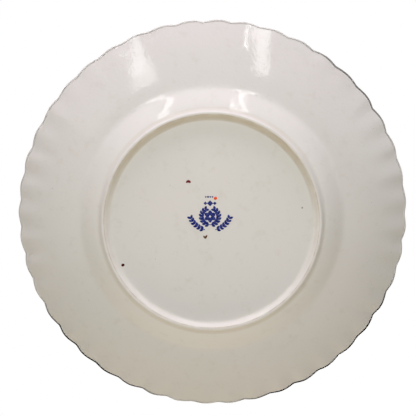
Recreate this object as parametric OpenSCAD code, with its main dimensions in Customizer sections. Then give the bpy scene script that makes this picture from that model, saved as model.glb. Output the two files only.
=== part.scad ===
// Scalloped china dinner plate, face up, standing on its foot ring.
// Millimetres, +Z up. The origin is the centre of the plane that the foot ring rests on.

/* [Plate] */
// Diameter across opposite lobe tips
plate_d = 267; // [258:1:276]
// Height of the lip's underside above the table
lip_z = 19; // [18:0.5:20]
// Thickness of the lip
lip_t = 2.4; // [2.2:0.1:2.8]
// How far the middle of the rim hangs below a straight line from shoulder to lip
rim_sag = 1.1; // [0:0.1:1.4]
// Radius of the verge, where the well's wall turns into the rim
verge_r = 90.4; // [90:0.1:91]

/* [Lobes] */
// Number of lobes around the edge
lobes = 44; // [40:1:48]
// Depth of the notch between two lobes
lobe_depth = 1.35; // [0.8:0.05:1.6]
// How far a lobe bellies out of the rim's underside
flute_depth = 0.7; // [0.3:0.05:0.9]
// Width of the fluted band, measured in from the edge
flute_w = 26; // [20:1:30]
// Direction of the first notch
notch_turn = 6.03; // [0:0.01:9]
// Where in a lobe its crest is, as a share of its width
lobe_lean = 0.55; // [0.45:0.01:0.55]

/* [Foot ring and well] */
// Inner radius of the face that the plate stands on
foot_in_r = 70.6; // [70.2:0.1:71]
// Width of the face that the plate stands on
foot_w = 1.4; // [1.2:0.1:1.8]
// Height of the recessed base above the table
base_z = 3.2; // [3:0.1:3.4]
// Thickness of the well's floor
well_t = 3.6; // [3.4:0.1:4]
// Radius of the well's flat floor
well_r = 72; // [70:0.5:73]

/* [Decoration] */
// Thickness of fired-on ink and enamel
ink_t = 0.12; // [0.08:0.01:0.2]
// Thickness of the metal line on the lip
line_t = 0.12; // [0.08:0.01:0.16]
// Width of the metal line on the rim's upper face
line_w = 1.5; // [1.2:0.1:1.8]

/* [Hidden] */

$fn = 128;
china = [0.93, 0.91, 0.87];
metal = [0.62, 0.61, 0.60];
cobalt = [0.13, 0.20, 0.45];

// ---- centre profile: everything inside the rim is turned about the Z axis ----

foot_out_r = foot_in_r + foot_w;
shoulder_r = 88.2;
shoulder_z = 8.4;
verge_z = 12.4;
well_z = base_z + well_t;

// Points of a smooth curve from p to q that leaves p and reaches q at the given slopes.
function bend(p, q, slope_p, slope_q, n) = [
    for (i = [0 : n])
        let (
            t = i / n,
            run = q[0] - p[0],
            h = p[1] * (2 * t ^ 3 - 3 * t ^ 2 + 1) + q[1] * (3 * t ^ 2 - 2 * t ^ 3)
                + run * (tan(slope_p) * (t ^ 3 - 2 * t ^ 2 + t) + tan(slope_q) * (t ^ 3 - t ^ 2))
        )
            [p[0] + run * t, h]
];

function reversed(list) = [for (i = [len(list) - 1 : -1 : 0]) list[i]];

// Points of an arc of radius r about c, from angle a to angle b.
function arc(c, r, a, b, n) = [
    for (i = [0 : n])
        let (t = a + (b - a) * i / n)
            [c[0] + r * cos(t), c[1] + r * sin(t)]
];

corner = 0.8; // rounding of the foot ring's two edges
fillet = 2.5; // rounding where the foot ring's inner wall leaves the base
inner_lean = 58; // steepness of the foot ring's inner wall
outer_lean = 45; // steepness of its outer wall
outer_run = 2.9; // length of its outer wall
tongue_r = 92; // how far the turned centre reaches into the rim's thickness

foot_inner = arc([foot_in_r, corner], corner, 180 + 90 - inner_lean, 270, 5);
foot_outer = arc([foot_out_r, corner], corner, 270, 270 + outer_lean, 5);
wall_top = [
    foot_inner[0][0] - (base_z - foot_inner[0][1]) / tan(inner_lean),
    base_z
];
fillet_reach = fillet * tan(inner_lean / 2);
base_fillet = arc(
    [wall_top[0] - fillet_reach, base_z - fillet],
    fillet, 90, 90 - inner_lean, 5
);
cove_start = foot_outer[5] + outer_run * [cos(outer_lean), sin(outer_lean)];

cove = bend(cove_start, [shoulder_r, shoulder_z], 16, 26, 7);
underside = concat(
    [[0, base_z]],
    base_fillet,
    foot_inner,
    foot_outer,
    [for (i = [0 : 6]) cove[i]]
);
tongue = [
    cove[6] + (cove[7] - cove[6]) * (tongue_r - cove[6][0]) / (cove[7][0] - cove[6][0]),
    [tongue_r, verge_z - 0.2]
];
face = bend([well_r, well_z], [verge_r, verge_z], 0, 27, 9);
centre_profile = concat(underside, tongue, reversed(face), [[0, well_z]]);

// ---- rim: a fluted ring that grows out of the turned centre ----

steps = lobes * 6;
rim_in_r = 85;
tip_r = plate_d / 2;
rim_slope = (lip_z - shoulder_z) / (tip_r - shoulder_r);
edge_slope = rim_slope + 4 * rim_sag / (tip_r - shoulder_r);

// Height of a lobe's outline at direction a: 0 in a notch and 1 at the crest.
function lobe(a) =
    let (
        u = (a - notch_turn) * lobes / 360,
        v = u - floor(u),
        skewed = v < lobe_lean ? v / lobe_lean / 2 : (v - lobe_lean) / (1 - lobe_lean) / 2 + 0.5
    )
        sin(180 * skewed);

// 0 inside the fluted band and 1 at the edge.
function fade(r) =
    let (t = min(1, max(0, (r - tip_r + flute_w) / flute_w)))
        t ^ 2 * (3 - 2 * t);

// A point of the rim's section at radius p[0] and height p[1], turned to direction a and fluted
// there. Notches draw it in along the edge's slope, and lobes belly down with a soft wave.
function fluted(p, a) =
    let (
        f = fade(p[0]),
        inset = lobe_depth * f * (1 - lobe(a)),
        r = p[0] - inset
    )
        [r * cos(a), r * sin(a), p[1] - inset * edge_slope + flute_depth * f * (0.5 - lobe(a) ^ 2)];

// A ring whose section is the closed list of points, one copy of it in each direction.
// Each cell is cut along one diagonal, and from point turned_from on along the other, so
// that a ring laid on another ring meets it exactly.
module fluted_ring(section, turned_from) {
    n = len(section);
    points = [
        for (i = [0 : steps - 1])
            for (p = section)
                fluted(p, notch_turn + i * 360 / steps)
    ];
    faces = [
        for (i = [0 : steps - 1])
            for (j = [0 : n - 1])
                let (
                    next = (i + 1) % steps * n,
                    a = i * n + j,
                    b = i * n + (j + 1) % n,
                    c = next + (j + 1) % n,
                    d = next + j
                )
                    each j < turned_from ? [[a, b, c], [a, c, d]] : [[a, b, d], [b, c, d]]
    ];
    polyhedron(points, faces, convexity = 8);
}

// How far the rim hangs, at radius r, below a straight line from the start to the lip.
function sag(r, start) =
    let (t = (r - start) / (tip_r - start))
        4 * rim_sag * t * (1 - t);

top_slope = (lip_z + lip_t - verge_z) / (tip_r - verge_r);
function under_z(r) = shoulder_z + (r - shoulder_r) * rim_slope - sag(r, shoulder_r);
function top_z(r) = verge_z + (r - verge_r) * top_slope - sag(r, verge_r);

// Rings of the fluted band, counted in from the edge, then the rounded lip.
band = [for (x = [26, 21, 16.5, 12, 8, 4.5]) tip_r - x];
nose = lip_t / 2;
line_under_r = tip_r - 1;
line_top_r = tip_r - line_w;
lip_section = [
    [line_under_r, under_z(line_under_r)],
    [tip_r - 0.3 * nose, under_z(tip_r) + 0.35 * nose],
    [tip_r, lip_z + 0.95 * nose],
    [tip_r - 0.25 * nose, top_z(tip_r) - 0.4 * nose],
    [line_top_r, top_z(line_top_r)]
];
rim_section = concat(
    [[rim_in_r, under_z(rim_in_r)]],
    [for (r = band) [r, under_z(r)]],
    lip_section,
    [for (r = reversed(band)) [r, top_z(r)]],
    [[verge_r + 0.3, top_z(verge_r + 0.3)], [rim_in_r, verge_z - 4]]
);

module china_body() {
    color(china) union() {
        rotate_extrude() polygon(centre_profile);
        fluted_ring(rim_section, len(rim_section));
    }
}

// ---- metal line: a band wrapped around the lip, on the body's own surface points ----

// The lip's section pushed outwards by the line's thickness.
line_skin = [
    for (i = [0 : len(lip_section) - 1])
        let (
            before = lip_section[max(i - 1, 0)],
            after = lip_section[min(i + 1, len(lip_section) - 1)],
            along = (after - before) / norm(after - before)
        )
            lip_section[i] + line_t * [along[1], -along[0]]
];

module lip_line() {
    color(metal)
        fluted_ring(concat(line_skin, reversed(lip_section)), len(line_skin));
}

// ---- printing and enamel on the base, drawn as seen from below ----

// Places ink on the base, at x and y as seen from below.
module on_base(x, y) {
    translate([-x, y, base_z - ink_t]) mirror([1, 0, 0]) children();
}

// A pointed leaf from the origin along +Y.
module leaf(length, width) {
    radius = (length ^ 2 + width ^ 2) / width / 4;
    linear_extrude(ink_t) intersection() {
        translate([radius - width / 2, length / 2]) circle(radius);
        translate([width / 2 - radius, length / 2]) circle(radius);
    }
}

// A thin line along an arc of radius r about the origin, from angle a to angle b.
module arc_line(r, width, a, b) {
    linear_extrude(ink_t) polygon(concat(
        arc([0, 0], r - width / 2, a, b, 24),
        arc([0, 0], r + width / 2, b, a, 24)
    ));
}

// A twig along an arc of radius r about the origin, with a pair of leaves at each step.
module twig(r, a, b, step, leaf_l, leaf_w, spread) {
    arc_line(r, 0.5, a, b);
    for (at = [a + step / 2 : step : b - step / 2])
        rotate(at) translate([r, 0]) {
            rotate(-spread) leaf(leaf_l, leaf_w);
            rotate(spread) leaf(leaf_l, leaf_w);
        }
}

stamp_x = -0.8;
stamp_y = 4.4;

// Two leafy branches that part at the top.
module stamp_wreath() {
    color(cobalt) on_base(stamp_x, stamp_y) {
        twig(5.5, -90, 62, 19, 2.8, 1.7, 34);
        mirror([1, 0, 0]) twig(5.5, -90, 62, 19, 2.8, 1.7, 34);
    }
}

// Six broad petals around an open eye.
module stamp_flower() {
    color(cobalt) on_base(stamp_x, stamp_y) {
        difference() {
            union() {
                for (a = [0 : 60 : 300])
                    rotate(a) leaf(4.1, 2.8);
                cylinder(h = ink_t, r = 1.7);
            }
            translate([0, 0, -1]) cylinder(h = 3, r = 0.7);
        }
    }
}

sprig_r = 14;

module stamp_sprig_right() {
    color(cobalt) on_base(stamp_x, stamp_y + 4.8) twig(sprig_r, -76, -22, 9, 2.8, 1.6, 40);
}

module stamp_sprig_left() {
    color(cobalt) on_base(stamp_x, stamp_y + 4.8)
        mirror([1, 0, 0]) twig(sprig_r, -76, -22, 9, 2.8, 1.6, 40);
}

// A square of the given side standing on its corner.
module diamond(side) {
    rotate(45) translate([-side / 2, -side / 2]) cube([side, side, ink_t]);
}

// A large diamond between two small ones, on one bar.
module stamp_diamonds() {
    color(cobalt) on_base(stamp_x, stamp_y + 8.7) {
        diamond(2.8);
        for (x = [-3.1, 3.1])
            translate([x, 0]) diamond(1.7);
        translate([-3.1, -0.25]) cube([6.2, 0.5, ink_t]);
    }
}

// Four beads on a thread.
module stamp_beads() {
    bead_gap = 1.5;
    color(cobalt) on_base(stamp_x - 0.6, stamp_y + 12.9) {
        for (i = [-1.5 : 1 : 1.5])
            translate([i * bead_gap, 0]) cylinder(h = ink_t, r = i == -0.5 ? 0.65 : 0.5);
        translate([-1.5 * bead_gap, -0.1]) cube([3 * bead_gap, 0.2, ink_t]);
    }
}

// An arched brush mark.
module enamel_tick_red() {
    color([0.45, 0.12, 0.10]) on_base(-15, 26.4) arc_line(1.1, 1.4, 0, 180);
}

module enamel_dot_orange() {
    color([0.85, 0.36, 0.16]) on_base(2.7, 16.4) cylinder(h = ink_t, r = 1.1);
}

// Two brush marks that meet at the foot.
module enamel_strokes_brown() {
    color([0.38, 0.25, 0.19]) on_base(-4, -10.4) {
        rotate(30) leaf(2.4, 1.1);
        rotate(-24) leaf(2.9, 1.1);
    }
}

module enamel_dab_maroon() {
    color([0.40, 0.14, 0.13]) on_base(-58.8, -28.2)
        rotate(25) linear_extrude(ink_t) scale([1, 0.6]) circle(1.1);
}

module kiln_speck() {
    color([0.55, 0.54, 0.52]) on_base(59.4, 10.2) cylinder(h = ink_t, r = 0.65);
}

china_body();
lip_line();
stamp_wreath();
stamp_flower();
stamp_sprig_left();
stamp_sprig_right();
stamp_diamonds();
stamp_beads();
enamel_tick_red();
enamel_dot_orange();
enamel_strokes_brown();
enamel_dab_maroon();
kiln_speck();
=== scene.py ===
"""The looks of a scalloped china dinner plate: glazed body, metal line on the lip, print and enamel.

The plate stands face up on its foot ring, and the camera sees it from below, as if it lay on its
face. Shapes are worked out in millimetres and made in metres.
"""

import math
import random

import bmesh
import bpy
from mathutils import Matrix, Quaternion, Vector, noise


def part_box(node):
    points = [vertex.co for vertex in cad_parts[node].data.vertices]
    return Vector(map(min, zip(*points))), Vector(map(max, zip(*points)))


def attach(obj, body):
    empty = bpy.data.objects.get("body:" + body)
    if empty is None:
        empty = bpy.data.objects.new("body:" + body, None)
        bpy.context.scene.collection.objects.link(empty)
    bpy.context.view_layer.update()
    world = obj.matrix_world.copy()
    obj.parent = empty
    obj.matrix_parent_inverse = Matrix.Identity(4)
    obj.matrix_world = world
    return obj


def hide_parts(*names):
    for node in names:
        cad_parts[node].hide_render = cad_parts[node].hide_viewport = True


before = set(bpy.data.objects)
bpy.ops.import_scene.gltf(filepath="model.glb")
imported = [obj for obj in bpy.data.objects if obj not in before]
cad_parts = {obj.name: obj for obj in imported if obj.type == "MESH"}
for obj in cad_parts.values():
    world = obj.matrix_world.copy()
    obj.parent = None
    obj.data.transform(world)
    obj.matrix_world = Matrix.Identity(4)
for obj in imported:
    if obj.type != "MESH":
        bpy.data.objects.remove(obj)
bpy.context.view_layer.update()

MM = 0.001

# ---- driving dimensions, in millimetres and degrees ----

LOBES = 44
STEPS_PER_LOBE = 12  # directions in which the outer rings have points
STEPS = LOBES * STEPS_PER_LOBE
NOTCH_TURN = 6.03  # direction of the first notch
LOBE_LEAN = 0.55  # where a lobe's crest is, as a share of its width
LOBE_DEPTH = 1.35
FLUTE_DEPTH = 0.7
FLUTE_WIDTH = 26.0

TIP_R = max(v.co.xy.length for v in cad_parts["china_body"].data.vertices) / MM
BASE_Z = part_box("stamp_flower")[1].z / MM
LIP_Z = 19.0
LIP_THICK = 2.4
FLAT_R = 56.0  # inside this radius the base and the well are quite flat
WELL_R, WELL_Z = 72.0, BASE_Z + 3.6
VERGE_R, VERGE_Z = 90.4, 12.4  # where the well's wall turns into the rim, on the face
SHOULDER_R, SHOULDER_Z = 88.2, 8.4  # the same underneath
FOOT_IN_R, FOOT_OUT_R = 69.9, 71.6  # corners of the face that it stands on, before rounding
FOOT_IN_LEAN = 58.0  # steepness of the foot ring's inner wall
COVE_R, COVE_Z = 74.2, 2.285  # the corner behind the foot ring
RIM_SAG = 1.1  # how far the middle of the rim hangs

RIM_UNDER_SLOPE = (LIP_Z - SHOULDER_Z) / (TIP_R - SHOULDER_R)
RIM_TOP_SLOPE = (LIP_Z + LIP_THICK - VERGE_Z) / (TIP_R - VERGE_R)
EDGE_SLOPE = RIM_UNDER_SLOPE + 4 * RIM_SAG / (TIP_R - SHOULDER_R)


# ---- section of the plate, as (radius, height) points ----


def bend(p, q, slope_p, slope_q, n):
    """A smooth curve from p to q that leaves and arrives at the given slopes, in degrees."""
    run = q[0] - p[0]
    points = []
    for i in range(n + 1):
        t = i / n
        ends = p[1] * (2 * t**3 - 3 * t**2 + 1) + q[1] * (3 * t**2 - 2 * t**3)
        leave = math.tan(math.radians(slope_p)) * (t**3 - 2 * t**2 + t)
        arrive = math.tan(math.radians(slope_q)) * (t**3 - t**2)
        points.append((p[0] + run * t, ends + run * (leave + arrive)))
    return points


def fillet(before, at, after, radius, n=5):
    """An arc of that radius in place of the corner `at`."""
    at = Vector(at)
    back, on = (Vector(before) - at).normalized(), (Vector(after) - at).normalized()
    half = back.angle(on) / 2
    centre = at + (back + on).normalized() * radius / math.sin(half)
    start = at + back * radius / math.tan(half) - centre
    end = at + on * radius / math.tan(half) - centre
    first = math.atan2(start.y, start.x)
    sweep = math.remainder(math.atan2(end.y, end.x) - first, 2 * math.pi)
    return [
        tuple(centre + radius * Vector((math.cos(a), math.sin(a))))
        for a in (first + sweep * i / n for i in range(n + 1))
    ]


def filled_in(points, spacing):
    """The same path with extra points, so that no gap is longer than the spacing."""
    out = [points[0]]
    for p, q in zip(points, points[1:]):
        n = max(1, math.ceil(math.dist(p, q) / spacing))
        out += [(p[0] + (q[0] - p[0]) * i / n, p[1] + (q[1] - p[1]) * i / n) for i in range(1, n + 1)]
    return out


def softened(points, r_from, r_to, passes):
    """The same path with its heights evened out between two radii."""
    points = list(points)
    for _ in range(passes):
        heights = [z for _, z in points]
        for i in range(1, len(points) - 1):
            if r_from < points[i][0] < r_to:
                points[i] = (points[i][0], (heights[i - 1] + 2 * heights[i] + heights[i + 1]) / 4)
    return points


def sag(r, start):
    """How far the rim hangs below a straight line from the start to the lip."""
    t = (r - start) / (TIP_R - start)
    return 4 * RIM_SAG * t * (1 - t)


def rim_under(r):
    return SHOULDER_Z + (r - SHOULDER_R) * RIM_UNDER_SLOPE - sag(r, SHOULDER_R)


def rim_top(r):
    return VERGE_Z + (r - VERGE_R) * RIM_TOP_SLOPE - sag(r, VERGE_R)


NOSE = 1.15  # how far the lip's rounding reaches in from its tip
NOSE_GAP = 0.4  # gap between that rounding and the rim's last ring
RING_GAP = 1.5  # widest gap between two rings outside the flat floor
# radii of the foot ring's roundings, from the base outwards
BASE_FILLET, FOOT_IN_FILLET, FOOT_OUT_FILLET, COVE_FILLET = 2.5, 2.0, 0.9, 6.0
COVE_SLOPE, SHOULDER_SLOPE, VERGE_SLOPE = 16, 26, 27  # steepness of the section there


def along_rim(height, start, n=16):
    """Points of the rim's section, from past the start to where the lip's rounding begins."""
    end = TIP_R - NOSE - NOSE_GAP
    return [(r, height(r)) for r in (start + (end - start) * i / n for i in range(1, n + 1))]


def lip_points(n=10):
    """The lip's rounded edge, from the underside to the upper face."""
    r = TIP_R - NOSE
    low, high = rim_under(r), rim_top(r)
    tilt = math.atan(EDGE_SLOPE)
    out, up = Vector((math.cos(tilt), math.sin(tilt))), Vector((-math.sin(tilt), math.cos(tilt)))
    centre, half = Vector((r, (low + high) / 2)), (high - low) / 2
    turns = [math.pi * (i / n - 0.5) for i in range(n + 1)]
    return [tuple(centre + out * NOSE * math.cos(t) + up * half * math.sin(t)) for t in turns]


def under_points():
    """The underside's section, from the edge of the flat base out to the lip."""
    wall_r = FOOT_IN_R - BASE_Z / math.tan(math.radians(FOOT_IN_LEAN))
    base, top = (FLAT_R, BASE_Z), (wall_r, BASE_Z)
    inner, outer, cove = (FOOT_IN_R, 0.0), (FOOT_OUT_R, 0.0), (COVE_R, COVE_Z)
    rise = bend(cove, (SHOULDER_R, SHOULDER_Z), COVE_SLOPE, SHOULDER_SLOPE, 12)
    foot = [base]
    foot += fillet(base, top, inner, BASE_FILLET)
    foot += fillet(top, inner, outer, FOOT_IN_FILLET, 9)
    foot += fillet(inner, outer, cove, FOOT_OUT_FILLET)
    foot += fillet(outer, cove, rise[3], COVE_FILLET)
    rim = along_rim(rim_under, SHOULDER_R)
    path = filled_in(foot + rise[2:] + rim, RING_GAP)
    return softened(path, SHOULDER_R - 1.7, SHOULDER_R + 2.3, 3)


def face_points():
    """The upper face's section, from the lip in to the flat of the well."""
    well = bend((WELL_R, WELL_Z), (VERGE_R, VERGE_Z), 0, VERGE_SLOPE, 14)
    rim = along_rim(rim_top, VERGE_R)
    path = filled_in([(FLAT_R, WELL_Z)] + well + rim, RING_GAP)
    return softened(path, VERGE_R - 3.4, VERGE_R + 4.6, 8)[::-1]


# ---- lobes and flutes ----

rng = random.Random(44)
# each notch's depth as a share of the usual one, and how far it is out of place, in degrees
NOTCH_DEEPER = [rng.uniform(0.72, 1.22) for _ in range(LOBES)]
NOTCH_SHIFT = [rng.uniform(-0.16, 0.16) for _ in range(LOBES)]
NOTCH_ROUND = 0.07  # how blunt the bottom of a notch is
FLATTER = 0.88  # share of the flutes' depth that is missing on the +Y side
SWAY = 0.1  # how far the rim rises and falls from firing, twice on its way round
SWAY_DROOP = 1.3  # how far it droops on average, in times that
SWAY_TURN = 0.6  # where round the plate it does, in radians


def between(values, lobe, share):
    """The value at a share of the way from one notch to the next."""
    return values[lobe] * (1 - share) + values[(lobe + 1) % LOBES] * share


def fade(r):
    """0 inside the fluted band and 1 at the edge."""
    t = min(1.0, max(0.0, (r - TIP_R + FLUTE_WIDTH) / FLUTE_WIDTH))
    return t * t * (3 - 2 * t)


def fluted(r, z, step):
    """Where a point of the section goes in the direction of that step, in metres."""
    lobe, share = int(step // STEPS_PER_LOBE) % LOBES, step % STEPS_PER_LOBE / STEPS_PER_LOBE
    if share < LOBE_LEAN:
        skewed = share / LOBE_LEAN / 2
    else:
        skewed = (share - LOBE_LEAN) / (1 - LOBE_LEAN) / 2 + 0.5
    crest = math.hypot(math.sin(math.pi * skewed), NOTCH_ROUND) - NOTCH_ROUND
    strength = fade(r)
    depth = between(NOTCH_DEEPER, lobe, share)
    a = math.radians(NOTCH_TURN + step * 360 / STEPS + strength * between(NOTCH_SHIFT, lobe, share))
    inset = LOBE_DEPTH * depth * strength * (1 - crest)
    r -= inset
    relief = FLUTE_DEPTH * (1 - FLATTER * max(0.0, math.sin(a)) ** 2)
    z += relief * depth * strength * (0.5 - math.sin(math.pi * skewed) ** 2)
    z -= inset * EDGE_SLOPE
    sway = max(0.0, (r - VERGE_R) / (TIP_R - VERGE_R)) ** 2
    z -= SWAY * sway * (SWAY_DROOP + math.sin(2 * a + SWAY_TURN))
    return Vector((r * math.cos(a), r * math.sin(a), z)) * MM


# ---- mesh helpers ----


THINNED_R = 54.0  # inside this radius the rings have fewer points


def steps_at(r):
    """How many directions a ring of that radius has: half as many each time it halves."""
    n, limit = STEPS, THINNED_R
    while r < limit and n % 2 == 0:
        n, limit = n // 2, limit / 2
    return n


def stitch(bm, outer, inner):
    """Joins two rings of vertices, where the inner may have half as many."""
    n, m = len(outer), len(inner)
    for i in range(m):
        j = (i + 1) % m
        if n == m:
            bm.faces.new((outer[i], outer[j], inner[j], inner[i]))
        else:
            a, b, c = outer[2 * i], outer[2 * i + 1], outer[(2 * i + 2) % n]
            bm.faces.new((inner[i], a, b))
            bm.faces.new((inner[i], b, inner[j]))
            bm.faces.new((inner[j], b, c))


def as_object(bm, name, material):
    bmesh.ops.recalc_face_normals(bm, faces=bm.faces)
    mesh = bpy.data.meshes.new(name)
    bm.to_mesh(mesh)
    bm.free()
    mesh.polygons.foreach_set("use_smooth", [True] * len(mesh.polygons))
    mesh.materials.append(material)
    obj = bpy.data.objects.new(name, mesh)
    bpy.context.scene.collection.objects.link(obj)
    return obj


def piece(bm, name, material, node):
    """A finished piece of the plate that stands for a CAD node."""
    obj = as_object(bm, name, material)
    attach(obj, "root")
    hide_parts(node)
    return obj


# ---- the pieces ----

FLAT_RINGS = (48, 40, 33, 26, 20, 14, 10, 6.5, 4, 2)  # radii of the rings on the flat floor


def make_body(material):
    """The whole clay body, as rings from the middle of the base round the lip to the well."""
    path = [(r, BASE_Z) for r in reversed(FLAT_RINGS)]
    path += under_points() + lip_points() + face_points()
    path += [(r, WELL_Z) for r in FLAT_RINGS]
    bm = bmesh.new()
    rings = []
    for r, z in path:
        n = steps_at(r)
        rings.append([bm.verts.new(fluted(r, z, i * STEPS / n)) for i in range(n)])
    for one, two in zip(rings, rings[1:]):
        stitch(bm, *((one, two) if len(one) >= len(two) else (two, one)))
    for ring, z in ((rings[0], BASE_Z), (rings[-1], WELL_Z)):
        middle = bm.verts.new((0, 0, z * MM))
        for i, v in enumerate(ring):
            bm.faces.new((v, ring[(i + 1) % len(ring)], middle))
    return piece(bm, "glazed_body", material, "china_body")


LINE_ACROSS = 12  # points across the metal line
LINE_UNDER, LINE_TOP = 1.4, 1.5  # how far the line reaches in from the tip on each side
LINE_PROUD, LINE_SUNK = 0.05, 0.12  # how far it stands out of the china, and is sunk in it
LINE_POINT_GAP = 0.15  # gap between the points of the path that it is laid on
LINE_UNEVEN = 1.4, 2.0  # how far its two edges wander, in such gaps
LINE_WANDERS = 9  # the larger, the more often they do


def make_lip_line(material):
    """A brushed band of metal around the lip, with slightly uneven edges."""
    under_r, top_r = TIP_R - 2.6, TIP_R - 3.2
    path = [(under_r, rim_under(under_r))] + lip_points(24) + [(top_r, rim_top(top_r))]
    path = [Vector(p) for p in filled_in(path, LINE_POINT_GAP)]
    first = next(i for i, p in enumerate(path) if p.x > TIP_R - LINE_UNDER)
    last = max(i for i, p in enumerate(path) if p.x > TIP_R - LINE_TOP)
    bm = bmesh.new()
    rings = []
    for step in range(STEPS):
        turn = 2 * math.pi * step / STEPS
        where = Vector((math.cos(turn), math.sin(turn), 0)) * LINE_WANDERS
        start = first + LINE_UNEVEN[0] * noise.noise(where)
        stop = last + LINE_UNEVEN[1] * noise.noise(where + Vector((0, 0, 5)))
        outer, inner = [], []
        for i in range(LINE_ACROSS):
            at = start + (stop - start) * i / (LINE_ACROSS - 1)
            i0 = min(max(int(at), 1), len(path) - 3)
            p = path[i0].lerp(path[i0 + 1], at - i0)
            along = (path[i0 + 2] - path[i0 - 1]).normalized()
            out = Vector((along.y, -along.x))
            edge = min(i, LINE_ACROSS - 1 - i) == 0
            outer.append(p + out * (0 if edge else LINE_PROUD))
            inner.append(p - out * LINE_SUNK)
        rings.append([bm.verts.new(fluted(p.x, p.y, step)) for p in outer + inner[::-1]])
    for i, ring in enumerate(rings):
        stitch(bm, ring, rings[(i + 1) % STEPS])
    return piece(bm, "lip_metal_line", material, "lip_line")


ENAMEL_PROUD, ENAMEL_SUNK = 0.14, 0.05  # how far a brush mark stands out of the base, and is sunk


def make_brush_mark(name, material, node, path, widths):
    """A raised touch of enamel under the base, along a path seen from below, in millimetres."""
    across = 10
    path = [Vector(p) for p in path]
    widest = max(widths)
    bm = bmesh.new()
    rings = []
    for i, (p, width) in enumerate(zip(path, widths)):
        along = (path[min(i + 1, len(path) - 1)] - path[max(i - 1, 0)]).normalized()
        side = Vector((-along.y, along.x))
        ring = []
        for j in range(across + 1):
            turn = math.pi * j / across
            at = p + side * width * math.cos(turn)
            drop = ENAMEL_PROUD * math.sqrt(width / widest) * math.sin(turn) ** 0.8
            ring.append(bm.verts.new(Vector((-at.x, at.y, BASE_Z - drop)) * MM))
        for share in (-0.9, 0, 0.9):
            at = p + side * width * share
            ring.append(bm.verts.new(Vector((-at.x, at.y, BASE_Z + ENAMEL_SUNK)) * MM))
        rings.append(ring)
    for one, two in zip(rings, rings[1:]):
        stitch(bm, one, two)
    bm.faces.new(rings[0])
    bm.faces.new(rings[-1])
    return piece(bm, name, material, node)


def end_to_end(n):
    """Shares from one end of a stroke, near -1, to the other, near 1."""
    return [-0.98 + 1.96 * i / n for i in range(n + 1)]


def round_widths(n, radius, power=0.5):
    """Half widths that close like a circle at both ends."""
    return [radius * (1 - share * share) ** power for share in end_to_end(n)]


def straight(centre, half_length, turn, n):
    """Points of a short straight stroke."""
    along = Vector((math.cos(math.radians(turn)), math.sin(math.radians(turn))))
    return [tuple(Vector(centre) + along * half_length * share) for share in end_to_end(n)]


def arched(centre, radius, start, end, n):
    """Points of a curved stroke about a centre, between two directions in degrees."""
    turns = [math.radians(start + (end - start) * i / n) for i in range(n + 1)]
    return [(centre[0] + radius * math.cos(t), centre[1] + radius * math.sin(t)) for t in turns]


# ---- materials ----


class Shader:
    """One material's nodes. Each method adds a node and gives back its output."""

    def __init__(self, name, ior=1.52):
        self.material = bpy.data.materials.new(name)
        self.material.use_nodes = True
        self.nodes = self.material.node_tree.nodes
        self.links = self.material.node_tree.links
        self.surface = self.nodes["Principled BSDF"]
        self.surface.inputs["IOR"].default_value = ior
        self.place = self.nodes.new("ShaderNodeTexCoord").outputs["Object"]

    def feed(self, socket, value):
        if isinstance(value, bpy.types.NodeSocket):
            self.links.new(value, socket)
        else:
            socket.default_value = value

    def set(self, name, value):
        self.feed(self.surface.inputs[name], value)

    def noise(self, scale, detail=3.0, where=None, roughness=0.5):
        node = self.nodes.new("ShaderNodeTexNoise")
        self.feed(node.inputs["Vector"], where or self.place)
        node.inputs["Scale"].default_value = scale
        node.inputs["Detail"].default_value = detail
        node.inputs["Roughness"].default_value = roughness
        return node.outputs["Fac"]

    def dots(self, scale):
        """The distance to the nearest of many scattered points."""
        node = self.nodes.new("ShaderNodeTexVoronoi")
        self.feed(node.inputs["Vector"], self.place)
        node.inputs["Scale"].default_value = scale
        return node.outputs["Distance"]

    def math(self, operation, a, b=0.0):
        node = self.nodes.new("ShaderNodeMath")
        node.operation = operation
        self.feed(node.inputs[0], a)
        self.feed(node.inputs[1], b)
        return node.outputs[0]

    def scaled(self, amounts, turn=0.0):
        """The object's own coordinates turned about Z and stretched."""
        node = self.nodes.new("ShaderNodeMapping")
        self.feed(node.inputs["Vector"], self.place)
        node.inputs["Rotation"].default_value = (0, 0, turn)
        node.inputs["Scale"].default_value = amounts
        return node.outputs[0]

    def split(self):
        node = self.nodes.new("ShaderNodeSeparateXYZ")
        self.feed(node.inputs[0], self.place)
        return node.outputs

    def from_axis(self, x, y):
        """The distance from the plate's axis."""
        squares = self.math("ADD", self.math("MULTIPLY", x, x), self.math("MULTIPLY", y, y))
        return self.math("SQRT", squares)

    def away(self, value, middle):
        """How far a value is from the middle, on either side."""
        return self.math("ABSOLUTE", self.math("SUBTRACT", value, middle))

    def range(self, value, low, high, to_low=0.0, to_high=1.0):
        """Maps low..high to the other two numbers, and stops there."""
        node = self.nodes.new("ShaderNodeMapRange")
        node.clamp = True
        for socket, number in zip(node.inputs, (value, low, high, to_low, to_high)):
            self.feed(socket, number)
        return node.outputs[0]

    def mix(self, share, a, b):
        node = self.nodes.new("ShaderNodeMix")
        node.data_type = "RGBA"
        self.feed(node.inputs[0], share)
        for socket, colour in zip((node.inputs[6], node.inputs[7]), (a, b)):
            self.feed(socket, (*colour, 1.0) if isinstance(colour, tuple) else colour)
        return node.outputs[2]

    def bump(self, height, distance, strength=1.0, under=None):
        node = self.nodes.new("ShaderNodeBump")
        self.feed(node.inputs["Height"], height)
        node.inputs["Distance"].default_value = distance
        node.inputs["Strength"].default_value = strength
        if under is not None:
            self.links.new(under, node.inputs["Normal"])
        return node.outputs[0]


CHINA = (0.80, 0.765, 0.74)
CHINA_COOL = (0.785, 0.765, 0.735)
# darker brown: random mottling of the glaze, and painted shade with some pooled glaze in the foot ring's
# corners
POOLED_AND_SHADE = (0.57, 0.51, 0.42)
SPECK = (0.30, 0.26, 0.22)
WORN = (0.46, 0.34, 0.22)

INNER_CORNER_R, OUTER_CORNER_R = 68.6, 73.9  # where painted shade and some pooled glaze darken the corners, on each side of the foot ring
UNWORN_R = 71.3  # near this radius the foot ring's glaze is whole
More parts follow.
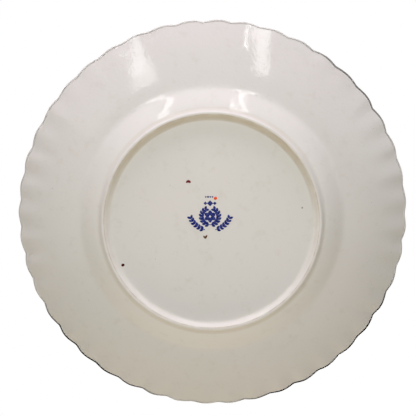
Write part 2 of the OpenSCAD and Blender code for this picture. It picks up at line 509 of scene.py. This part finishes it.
# heights inside the clay of the floor, where the underside's looks end and the face's begin
UNDER_ENDS, FACE_BEGINS = (4.4 * MM, 5.0 * MM), (5.0 * MM, 6.0 * MM)


def glazed_china():
    """Warm white china under a clear glaze that wears on the foot, with painted shade and some pooled
    glaze in the foot ring's corners.
    """
    s = Shader("glazed_china")
    x, y, z = s.split()
    radius = s.from_axis(x, y)
    below = s.range(z, *UNDER_ENDS, 1, 0)

    colour = s.mix(s.range(s.noise(16, 4), 0.35, 0.65), CHINA, CHINA_COOL)
    colour = s.mix(s.range(s.noise(140, 5, roughness=0.65), 0.55, 0.8, 0, 0.25), colour, POOLED_AND_SHADE)

    def corner(middle, near_edge, far_edge, towards, low, high):
        """Share of painted shade, with some pooled glaze, in a corner of the foot, more towards the part
        of the ring where that corner lies in shade.
        """
        edge = s.range(s.away(radius, middle * MM), near_edge * MM, far_edge * MM, 1, 0)
        along = s.range(towards, low * MM, high * MM, 0.1, 1.0)
        return s.math("MULTIPLY", s.math("MULTIPLY", edge, below), along)

    # painted shade: the inner corner darkens most towards +Y, where its wall faces away from the light
    inner = corner(INNER_CORNER_R, 1.3, 2.4, y, -5, 48)
    # painted shade in the crease outside the foot ring, more towards either end of the Y axis
    outer = corner(OUTER_CORNER_R, 0.7, 2.0, s.math("ABSOLUTE", y), 20, 60)
    pool_and_shade = s.math("MAXIMUM", inner, s.math("MULTIPLY", outer, 0.4))
    pool_and_shade = s.math("MULTIPLY", pool_and_shade, s.range(s.noise(60, 3), 0.3, 0.7, 0.8, 1.0))
    # the corners' painted shade, with some pooled glaze, laid on the china's colour
    colour = s.mix(pool_and_shade, colour, POOLED_AND_SHADE)

    speck = s.range(s.dots(95), 0.0, 0.045, 1, 0)
    speck = s.math("MULTIPLY", speck, s.range(s.noise(33, 1), 0.52, 0.56))
    colour = s.mix(s.math("MULTIPLY", speck, 0.6), colour, SPECK)

    edges = s.range(s.away(radius, UNWORN_R * MM), 0.7 * MM, 1.1 * MM)
    worn = s.math("MULTIPLY", s.range(z, 0.12 * MM, 0.4 * MM, 1, 0), edges)
    worn = s.math("MULTIPLY", worn, s.range(s.noise(120, 5, roughness=0.6), 0.38, 0.6, 0.15, 0.75))
    colour = s.mix(worn, colour, WORN)
    s.set("Base Color", colour)

    knife = s.noise(1, 2, where=s.scaled((900, 26, 1), 0.5))
    knife = s.math("MAXIMUM", knife, s.noise(1, 2, where=s.scaled((26, 1100, 1), 0.2)))
    well = s.range(radius, 70 * MM, 76 * MM, 1, 0)
    well = s.math("MULTIPLY", well, s.range(z, *FACE_BEGINS))
    cut = s.math("MULTIPLY", s.range(knife, 0.70, 0.76), well)
    rough = s.range(s.noise(24, 4), 0.3, 0.7, 0.035, 0.07)
    rough = s.math("ADD", rough, s.math("MULTIPLY", cut, 0.2))
    rough = s.math("ADD", rough, s.math("MULTIPLY", worn, 0.25))
    s.set("Roughness", rough)

    waves = s.bump(s.noise(45, 2), 0.10 * MM, 0.6)
    peel = s.bump(s.noise(520, 1), 0.045 * MM, 1.0, waves)
    s.set("Normal", s.bump(speck, 0.05 * MM, 0.3, peel))
    return s.material


# painted reflection: directions, in degrees as seen from below, where the lip's line stays dark metal as
# though reflecting darker surroundings, and how much
DARK_REFLECTION_SPOTS = ((310, 1.02), (231, 0.945), (45, 0.91))
# painted reflection: the pale colour the line takes away from the dark directions, close to the china's
# own
PALE_REFLECTION_LIP = (0.76, 0.73, 0.70)


def lip_metal():
    """Fired metal, dark in three places and pale elsewhere as a painted reflection, with a little
    speckled wear.
    """
    s = Shader("lip_metal", ior=1.5)
    x, y, _ = s.split()
    # painted reflection: how near each point of the line lies to one of the dark directions
    dark_reflection = 0.0
    for turn, left in DARK_REFLECTION_SPOTS:
        right, up = left * math.cos(math.radians(turn)), left * math.sin(math.radians(turn))
        along = s.math("ADD", s.math("MULTIPLY", x, -right), s.math("MULTIPLY", y, up))
        dark_reflection = s.math("MAXIMUM", along, dark_reflection)
    dark_reflection = s.math("DIVIDE", dark_reflection, s.from_axis(x, y))
    dark_reflection = s.math("ADD", dark_reflection, s.math("MULTIPLY", s.noise(14, 2), 0.1))
    pale_reflection = s.range(dark_reflection, 0.90, 1.0, 0.9, 0)
    # the pale painted reflection, plus a little real speckled wear
    worn = s.math("MAXIMUM", pale_reflection, s.range(s.noise(110, 5, roughness=0.7), 0.56, 0.70, 0, 0.12))
    tone = s.mix(s.range(s.noise(30, 2), 0.35, 0.65), (0.06, 0.06, 0.06), (0.12, 0.11, 0.10))
    s.set("Base Color", s.mix(worn, tone, PALE_REFLECTION_LIP))
    s.set("Metallic", s.range(worn, 0, 0.8, 1, 0))
    s.set("Roughness", s.range(s.noise(260, 4), 0.3, 0.7, 0.16, 0.34))
    s.set("Normal", s.bump(s.noise(700, 3), 0.02 * MM, 0.5))
    return s.material


def cobalt_print():
    """Cobalt ink that has spread a little into the glaze, darker where it lies thick."""
    s = Shader("cobalt_print")
    thick = s.range(s.noise(900, 5, roughness=0.7), 0.36, 0.62)
    colour = s.mix(thick, (0.065, 0.085, 0.32), (0.004, 0.008, 0.12))
    gaps = s.range(s.noise(2600, 2), 0.64, 0.74, 0, 0.55)
    s.set("Base Color", s.mix(gaps, colour, (0.32, 0.34, 0.48)))
    s.set("Roughness", s.range(s.noise(500, 3), 0.3, 0.7, 0.10, 0.20))
    s.set("Normal", s.bump(s.noise(1500, 3), 0.01 * MM, 0.4))
    return s.material


def enamel(name, thin, thick, rough):
    """Raised enamel colour, darker where the brush left more of it."""
    s = Shader(name)
    depth = s.range(s.noise(1100, 4, roughness=0.6), 0.35, 0.65)
    s.set("Base Color", s.mix(depth, thin, thick))
    s.set("Roughness", s.range(s.noise(1800, 3), 0.3, 0.7, rough, rough + 0.12))
    s.set("Normal", s.bump(s.noise(2400, 3), 0.02 * MM, 0.5))
    return s.material


def pale_floor():
    """A pale floor that can be seen through from below."""
    material = bpy.data.materials.new("pale_floor")
    material.use_nodes = True
    nodes, links = material.node_tree.nodes, material.node_tree.links
    surface = nodes["Principled BSDF"]
    surface.inputs["Base Color"].default_value = (0.66, 0.65, 0.64, 1)
    surface.inputs["Roughness"].default_value = 0.7
    clear = nodes.new("ShaderNodeBsdfTransparent")
    either = nodes.new("ShaderNodeMixShader")
    links.new(nodes.new("ShaderNodeNewGeometry").outputs["Backfacing"], either.inputs[0])
    links.new(surface.outputs[0], either.inputs[1])
    links.new(clear.outputs[0], either.inputs[2])
    links.new(either.outputs[0], nodes["Material Output"].inputs["Surface"])
    return material


# ---- stage ----


FLOOR_REACH = 4  # metres from the plate to each side of the floor
FLOOR_DROP = 0.05  # gap between the foot ring and the floor


def make_floor():
    """One-sided floor just under the foot ring, which lets the lamps below it light the base."""
    bm = bmesh.new()
    bmesh.ops.create_grid(bm, x_segments=1, y_segments=1, size=FLOOR_REACH)
    floor = as_object(bm, "floor", pale_floor())
    if floor.data.polygons[0].normal.z < 0:
        floor.data.flip_normals()
    floor.location.z = -FLOOR_DROP * MM
    floor.visible_shadow = False
    floor.visible_diffuse = False
    floor.visible_glossy = False
    return floor


def beneath(right, up, out):
    """A place in front of the base, in metres: to the viewer's right, up, and out from the base."""
    return Vector((-right, up, -out))


def lamp(name, place, aim, size, power, colour=(1.0, 1.0, 1.0)):
    """A soft rectangular lamp, of that width and length."""
    data = bpy.data.lights.new(name, "AREA")
    data.shape = "RECTANGLE"
    data.size, data.size_y = size
    data.energy = power
    data.color = colour
    obj = bpy.data.objects.new(name, data)
    obj.location = place
    obj.rotation_mode = "QUATERNION"
    obj.rotation_quaternion = (Vector(aim) - place).to_track_quat("-Z", "Y")
    obj.visible_camera = False
    bpy.context.scene.collection.objects.link(obj)
    return obj


LAMP_REACH = 0.85  # metres from the base to the soft lamps that light it

# degrees off the base's axis, direction round it as seen, width and height, watts, colour, gloss
BASE_LAMPS = {
    "window": (85, 91, (1.1, 0.25), 8.2, (0.965, 0.905, 1.0), False),
    "table_glow": (86, 268, (0.8, 0.3), 4.3, (1.0, 0.86, 0.62), False),
    "wall_left": (88, 180, (0.5, 0.25), 0.8, (1.0, 0.84, 0.60), False),
    "wall_right": (89, 0, (0.5, 0.25), 0.4, (1.0, 0.74, 0.40), False),
    "shade_left": (50, 135, (0.4, 0.4), 0.36, (0.98, 0.90, 1.0), True),
    "shade_right": (50, 45, (0.4, 0.4), 0.16, (0.9, 0.85, 1.0), True),
}

# a small lamp just behind the camera: right, up and out, width and height, watts, colour
NEAR_PLACE, NEAR_SIZE, NEAR_POWER, NEAR_COLOUR = (0, 0.042, 0.36), (0.06, 0.06), 0.885, (1.0, 1.0, 0.93)

AIM = (0, 0, 0)  # what every lamp but the strips points at

TUBE_OUT = 0.5  # metres from the base to the strip lamps, which it only reflects
# the two ends of each strip lamp, to the right and up, then its width and watts
TUBES = {
    "tube_wide": ((0.156, 0.39), (0.290, 1.20), 0.050, 0.61),
    "tube_narrow": ((0.126, 0.54), (0.158, 0.80), 0.010, 0.12),
    "tube_left": ((-0.245, 0.41), (-0.300, 0.62), 0.060, 0.165),
    "tube_far_left": ((-0.314, 0.56), (-0.345, 0.95), 0.050, 0.28),
    "blind_left": ((-0.210, 0.34), (-0.262, 0.50), 0.085, 0.12),
}


# place, width and height, watts and colour of the lamps that light the face and the floor
FACE_LAMPS = {
    "above": ((-0.5, -0.6, 1.0), (0.5, 0.5), 8.0, (1.0, 1.0, 1.0)),
    "above_fill": ((0.8, 0.5, 0.9), (1.2, 1.2), 2.5, (1.0, 0.97, 0.93)),
}


def keep_light_off(thing, lamps):
    """Stops those lamps from lighting one object."""
    unlit = bpy.data.collections.new("unlit_by_base_lamps")
    unlit.objects.link(thing)
    unlit.collection_objects[0].light_linking.link_state = "EXCLUDE"
    for each in lamps:
        each.light_linking.receiver_collection = unlit


def light_the_scene(floor):
    """Lights for the base, strips that it reflects, and lights for the face and the floor."""
    soft_lamps = []
    for name, (off, round_axis, size, power, colour, gloss) in BASE_LAMPS.items():
        off, turn = math.radians(off), math.radians(round_axis)
        away = Vector((math.sin(off) * math.cos(turn), math.sin(off) * math.sin(turn), math.cos(off)))
        soft = lamp(name, beneath(*away * LAMP_REACH), AIM, size, power, colour)
        soft.visible_glossy = gloss
        soft_lamps.append(soft)
    keep_light_off(floor, soft_lamps)
    near = lamp("near", beneath(*NEAR_PLACE), AIM, NEAR_SIZE, NEAR_POWER, NEAR_COLOUR)
    near.visible_glossy = False
    for name, (low, high, width, power) in TUBES.items():
        low, high = beneath(*low, TUBE_OUT), beneath(*high, TUBE_OUT)
        middle = (low + high) / 2
        tube = lamp(name, middle, middle + Vector((0, 0, 1)), (width, (high - low).length), power)
        lean = math.atan2(low.x - high.x, high.y - low.y)
        tube.rotation_quaternion = Quaternion((0, 0, 1), lean) @ tube.rotation_quaternion
        tube.visible_diffuse = False
    for name, (place, size, power, colour) in FACE_LAMPS.items():
        lamp(name, Vector(place), AIM, size, power, colour)


# directions from the base, seen from below: right, up and out, half width in degrees, strength
GLOWS = ((-1.0, 0.05, 1.0, 30, 0.5), (1.0, 0.35, 1.0, 16, 0.6), (1.0, -0.05, 1.0, 16, 0.1))
SKY_HALF_WIDTH, SKY_STRENGTH = 92, 0.55


def light_the_world():
    """White behind the plate, even light from above the floor, and dim glows in its gloss."""
    world = bpy.data.worlds.new("studio")
    world.use_nodes = True
    nodes, links = world.node_tree.nodes, world.node_tree.links
    where = nodes.new("ShaderNodeTexCoord").outputs["Generated"]

    def towards(direction, half_width, strength):
        """Light that is full in one direction and fades out at that many degrees from it."""
        along = nodes.new("ShaderNodeVectorMath")
        along.operation = "DOT_PRODUCT"
        links.new(where, along.inputs[0])
        along.inputs[1].default_value = direction.normalized()
        soft = nodes.new("ShaderNodeMapRange")
        soft.interpolation_type = "SMOOTHSTEP"
        links.new(along.outputs["Value"], soft.inputs["Value"])
        soft.inputs["From Min"].default_value = math.cos(math.radians(half_width))
        soft.inputs["To Max"].default_value = strength
        return soft.outputs[0]

    def combined(operation, one, other):
        node = nodes.new("ShaderNodeMath")
        node.operation = operation
        links.new(one, node.inputs[0])
        links.new(other, node.inputs[1])
        return node.outputs[0]

    ray = nodes.new("ShaderNodeLightPath").outputs
    total = towards(Vector((0, 0, 1)), SKY_HALF_WIDTH, SKY_STRENGTH)
    for right, up, out, half_width, strength in GLOWS:
        glow = towards(beneath(right, up, out), half_width, strength)
        total = combined("ADD", total, combined("MULTIPLY", glow, ray["Is Glossy Ray"]))

    room = nodes["Background"]
    room.inputs["Color"].default_value = (0.97, 0.96, 0.94, 1)
    links.new(total, room.inputs["Strength"])
    white = nodes.new("ShaderNodeBackground")
    white.inputs["Color"].default_value = (1, 1, 1, 1)
    white.inputs["Strength"].default_value = 1.0
    either = nodes.new("ShaderNodeMixShader")
    links.new(ray["Is Camera Ray"], either.inputs[0])
    links.new(room.outputs[0], either.inputs[1])
    links.new(white.outputs[0], either.inputs[2])
    links.new(either.outputs[0], nodes["World Output"].inputs["Surface"])
    bpy.context.scene.world = world


def make_camera():
    """The photograph's view: from below, a little off the plate's axis on its +Y side."""
    distance, lens, sensor = 0.340, 42.69, 36.0
    tilt, turn = math.radians(6.4), math.radians(-0.75)
    # how far the middle of the lip's plane is from the middle of the picture
    slide = Vector((0.00239, -0.00817, 0))
    facing = Matrix(((-1, 0, 0), (0, 1, 0), (0, 0, -1)))
    to_camera = Matrix.Rotation(turn, 3, "Y") @ Matrix.Rotation(tilt, 3, "X") @ facing
    from_camera = to_camera.transposed()
    data = bpy.data.cameras.new("camera")
    data.lens, data.sensor_width = lens, sensor
    data.clip_start, data.clip_end = 0.01, 20
    camera = bpy.data.objects.new("camera", data)
    camera.matrix_world = from_camera.to_4x4()
    camera.location = from_camera @ (Vector((0, 0, distance)) - slide) + Vector((0, 0, LIP_Z * MM))
    bpy.context.scene.collection.objects.link(camera)
    bpy.context.scene.camera = camera


# ---- putting it together ----


def main():
    make_camera()
    light_the_world()
    light_the_scene(make_floor())

    make_body(glazed_china())
    make_lip_line(lip_metal())

    print_ink = cobalt_print()
    for name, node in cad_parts.items():
        if name.startswith("stamp_"):
            node.data.materials.clear()
            node.data.materials.append(print_ink)

    red = enamel("red_enamel", (0.30, 0.05, 0.05), (0.05, 0.003, 0.003), 0.14)
    orange = enamel("orange_enamel", (0.92, 0.16, 0.02), (0.80, 0.04, 0.003), 0.14)
    brown = enamel("brown_enamel", (0.24, 0.12, 0.06), (0.07, 0.03, 0.012), 0.18)
    maroon = enamel("maroon_enamel", (0.10, 0.012, 0.01), (0.03, 0.002, 0.002), 0.16)
    grit = enamel("kiln_grit", (0.42, 0.41, 0.40), (0.26, 0.25, 0.24), 0.3)

    steps = 14
    path = arched((-15, 26.4), 1.1, 180, 0, steps)
    swell = [0.66 + 0.28 * i / steps for i in range(steps + 1)]
    widths = [width * end for width, end in zip(swell, round_widths(steps, 1, 0.3))]
    make_brush_mark("red_tick", red, "enamel_tick_red", path, widths)

    # name, material, slot, node, middle, half length, turn in degrees, steps and half width
    touches = (
        ("orange_dot", orange, "orange_enamel", "enamel_dot_orange", (2.7, 16.4), 1.1, 20, 12, 1.05),
        ("maroon_dab", maroon, "maroon_enamel", "enamel_dab_maroon", (-58.8, -28.2), 1.15, 25, 12, 0.95),
        ("grit_speck", grit, "speck", "kiln_speck", (59.4, 10.2), 0.65, 70, 10, 0.55),
    )
    for name, material, slot, node, middle, half_length, turn, steps, half_width in touches:
        path = straight(middle, half_length, turn, steps)
        make_brush_mark(name, material, node, path, round_widths(steps, half_width))

    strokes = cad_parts["enamel_strokes_brown"]
    strokes.data.materials.clear()
    strokes.data.materials.append(brown)

    bpy.context.scene.view_settings.view_transform = "Standard"


main()
